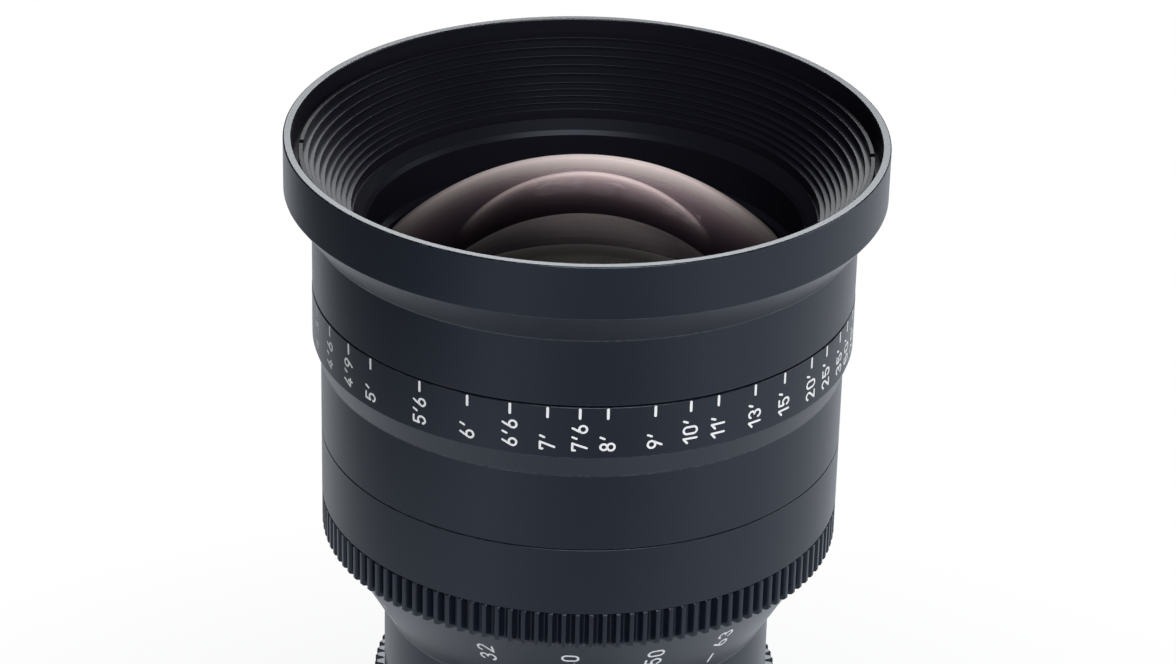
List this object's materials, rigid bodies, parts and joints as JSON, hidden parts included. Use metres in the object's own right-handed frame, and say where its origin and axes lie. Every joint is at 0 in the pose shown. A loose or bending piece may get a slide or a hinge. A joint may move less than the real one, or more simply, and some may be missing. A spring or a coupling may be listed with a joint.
{
  "type": "cinema zoom lens",
  "caption": "Cinema zoom lens with turning focus, zoom and iris rings with drive teeth, sliding lens groups, a bladed iris and a 54 mm register mount.",
  "frame": {"origin": "on the optical axis at the mount's flange plane", "axes": "+Z along the optical axis to the front rim, -Y towards the side with the near distances"},
  "size_m": [0.114, 0.114, 0.2155],
  "materials": {
    "front_glass": "coated, smooth",
    "inner_glass": "coated, smooth",
    "baffle_black": "matt black anodised",
    "cell_black": "matt black anodised",
    "mount_steel": "ground, hard chromed",
    "screw_steel": "polished",
    "brass": "turned",
    "blade_steel": "black oxide",
    "ring_anodised": "satin black anodised",
    "barrel_anodised": "satin black anodised"
  },
  "bodies": {
    "barrel": {"front_barrel": "barrel_anodised", "front_baffle": "baffle_black", "front_cell": "cell_black", "front_element": "front_glass", "second_element": "front_glass", "front_retainer": "baffle_black", "second_retainer": "cell_black", "focus_guide_barrel": "barrel_anodised", "main_barrel": "barrel_anodised", "zoom_guide_tube": "barrel_anodised", "guide_tube_ring": "cell_black", "iris_base_plate": "barrel_anodised", "iris_cover": "barrel_anodised", "rear_cell": "cell_black", "rear_element_1": "inner_glass", "rear_element_2": "inner_glass", "rear_element_3": "inner_glass", "rear_element_4": "inner_glass", "rear_spacers": "cell_black", "rear_retainer": "cell_black", "rear_barrel": "barrel_anodised", "barrel_screws": "screw_steel", "mount_shim": "brass", "lens_mount": "mount_steel", "mount_screws": "screw_steel"},
    "focus_ring_body": {"focus_ring": "ring_anodised", "focus_gear_ring": "ring_anodised", "focus_cam_sleeve": "barrel_anodised"},
    "focus_group": {"focus_cell": "cell_black", "focus_element_1": "inner_glass", "focus_element_2": "inner_glass", "focus_retainer": "cell_black", "focus_follower": "brass"},
    "zoom_ring_body": {"zoom_ring": "ring_anodised", "zoom_gear_ring": "ring_anodised", "zoom_cam_tube": "brass", "zoom_drive_key": "screw_steel"},
    "variator_group": {"variator_cell": "cell_black", "variator_element_1": "inner_glass", "variator_element_2": "inner_glass", "variator_element_3": "inner_glass", "variator_retainer": "cell_black", "variator_followers": "brass"},
    "compensator_group": {"compensator_cell": "cell_black", "compensator_element_1": "inner_glass", "compensator_element_2": "inner_glass", "compensator_retainer": "cell_black", "compensator_followers": "brass"},
    "iris_ring_body": {"iris_ring": "ring_anodised", "iris_gear_ring": "ring_anodised", "iris_drive_key": "screw_steel", "iris_actuator_ring": "blade_steel"},
    "blade_1": {"iris_blade_1": "blade_steel"},
    "blade_2": {"iris_blade_2": "blade_steel"},
    "blade_3": {"iris_blade_3": "blade_steel"},
    "blade_4": {"iris_blade_4": "blade_steel"},
    "blade_5": {"iris_blade_5": "blade_steel"},
    "blade_6": {"iris_blade_6": "blade_steel"},
    "blade_7": {"iris_blade_7": "blade_steel"},
    "blade_8": {"iris_blade_8": "blade_steel"}
  },
  "joints": [
    {"name": "focus_turn", "type": "hinge", "parent": "barrel", "child": "focus_ring_body", "pos_m": [0, 0, 0.14], "axis": [0, 0, 1], "range_deg": [0, 291]},
    {"name": "focus_group_slide", "type": "slide", "parent": "barrel", "child": "focus_group", "axis": [0, 0, 1], "range_m": [0, 0.009]},
    {"name": "zoom_turn", "type": "hinge", "parent": "barrel", "child": "zoom_ring_body", "pos_m": [0, 0, 0.09], "axis": [0, 0, 1], "range_deg": [0, 157]},
    {"name": "variator_slide", "type": "slide", "parent": "barrel", "child": "variator_group", "axis": [0, 0, 1], "range_m": [0, 0.022]},
    {"name": "compensator_slide", "type": "slide", "parent": "barrel", "child": "compensator_group", "axis": [0, 0, 1], "range_m": [0, 0.01]},
    {"name": "iris_turn", "type": "hinge", "parent": "barrel", "child": "iris_ring_body", "pos_m": [0, 0, 0.05], "axis": [0, 0, 1], "range_deg": [0, 38]},
    {"name": "blade_1_turn", "type": "hinge", "parent": "barrel", "child": "blade_1", "pos_m": [0.024, 0, 0.036], "axis": [0, 0, 1], "range_deg": [0, 32]},
    {"name": "blade_2_turn", "type": "hinge", "parent": "barrel", "child": "blade_2", "pos_m": [0.01697, 0.01697, 0.036], "axis": [0, 0, 1], "range_deg": [0, 32]},
    {"name": "blade_3_turn", "type": "hinge", "parent": "barrel", "child": "blade_3", "pos_m": [0, 0.024, 0.036], "axis": [0, 0, 1], "range_deg": [0, 32]},
    {"name": "blade_4_turn", "type": "hinge", "parent": "barrel", "child": "blade_4", "pos_m": [-0.01697, 0.01697, 0.036], "axis": [0, 0, 1], "range_deg": [0, 32]},
    {"name": "blade_5_turn", "type": "hinge", "parent": "barrel", "child": "blade_5", "pos_m": [-0.024, 0, 0.036], "axis": [0, 0, 1], "range_deg": [0, 32]},
    {"name": "blade_6_turn", "type": "hinge", "parent": "barrel", "child": "blade_6", "pos_m": [-0.01697, -0.01697, 0.036], "axis": [0, 0, 1], "range_deg": [0, 32]},
    {"name": "blade_7_turn", "type": "hinge", "parent": "barrel", "child": "blade_7", "pos_m": [0, -0.024, 0.036], "axis": [0, 0, 1], "range_deg": [0, 32]},
    {"name": "blade_8_turn", "type": "hinge", "parent": "barrel", "child": "blade_8", "pos_m": [0.01697, -0.01697, 0.036], "axis": [0, 0, 1], "range_deg": [0, 32]}
  ],
  "couplings": [
    {"joint": "focus_group_slide", "follows": "focus_turn", "m_per_rad": 0.001772},
    {"joint": "variator_slide", "follows": "zoom_turn", "m_per_rad": 0.0080287},
    {"joint": "compensator_slide", "follows": "zoom_turn", "m_per_rad": 0.0036494},
    {"joint": "blade_1_turn", "follows": "iris_turn", "ratio": 0.8421},
    {"joint": "blade_2_turn", "follows": "iris_turn", "ratio": 0.8421},
    {"joint": "blade_3_turn", "follows": "iris_turn", "ratio": 0.8421},
    {"joint": "blade_4_turn", "follows": "iris_turn", "ratio": 0.8421},
    {"joint": "blade_5_turn", "follows": "iris_turn", "ratio": 0.8421},
    {"joint": "blade_6_turn", "follows": "iris_turn", "ratio": 0.8421},
    {"joint": "blade_7_turn", "follows": "iris_turn", "ratio": 0.8421},
    {"joint": "blade_8_turn", "follows": "iris_turn", "ratio": 0.8421}
  ]
}
